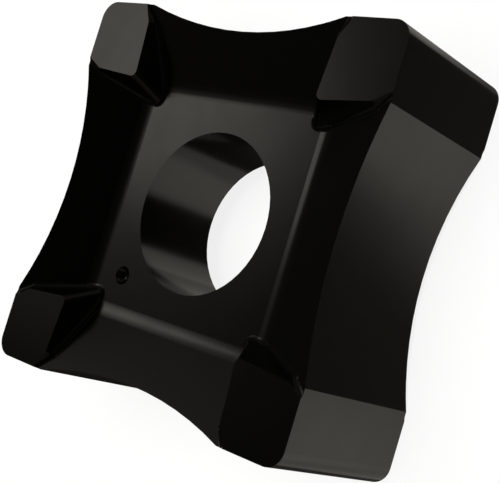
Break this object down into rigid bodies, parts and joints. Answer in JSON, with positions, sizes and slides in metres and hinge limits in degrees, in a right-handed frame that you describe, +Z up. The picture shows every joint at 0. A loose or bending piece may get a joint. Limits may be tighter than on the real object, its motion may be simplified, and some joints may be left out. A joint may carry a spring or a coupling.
{
  "type": "square carbide milling insert",
  "caption": "Double-sided square cutting insert with raised corner lands, hollow sides and a plain centre hole.",
  "frame": {"origin": "on the bore's axis, in the plane of the four lower lands that the insert is seated on", "axes": "+Z up along the bore, +X and +Y square to the cutting edges"},
  "size_m": [0.013, 0.013, 0.0056],
  "materials": {
    "coated_carbide": "smooth satin-gloss black coating on cemented carbide"
  },
  "bodies": {
    "root": {"insert_body": "coated_carbide"}
  },
  "joints": []
}
